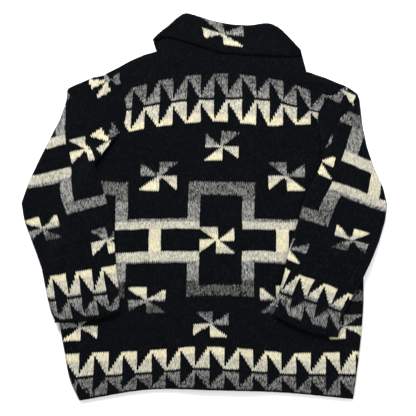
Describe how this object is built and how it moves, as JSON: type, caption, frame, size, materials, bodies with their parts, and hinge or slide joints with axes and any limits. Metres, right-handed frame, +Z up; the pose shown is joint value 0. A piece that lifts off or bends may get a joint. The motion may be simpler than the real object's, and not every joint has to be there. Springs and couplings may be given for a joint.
{
  "type": "shawl-collar cardigan laid flat",
  "caption": "Bulky jacquard-knit shawl-collar cardigan laid out flat, back uppermost, sleeves brought down along the sides.",
  "frame": {"origin": "on the surface it lies on, under the middle of the whole outline", "axes": "+Z up out of the back of the garment, +Y from the hem to the collar, -X towards the wearer's left"},
  "size_m": [0.741, 0.784, 0.0238],
  "materials": {
    "knit": "matte bulky wool jacquard knit",
    "button": "dull polished"
  },
  "bodies": {
    "root": {"back": "knit", "front_left": "knit", "front_right": "knit", "sleeve_left": "knit", "sleeve_right": "knit", "collar": "knit", "band_left": "knit", "band_right": "knit", "button_1": "button", "button_2": "button", "button_3": "button", "button_4": "button", "button_5": "button"}
  },
  "joints": []
}
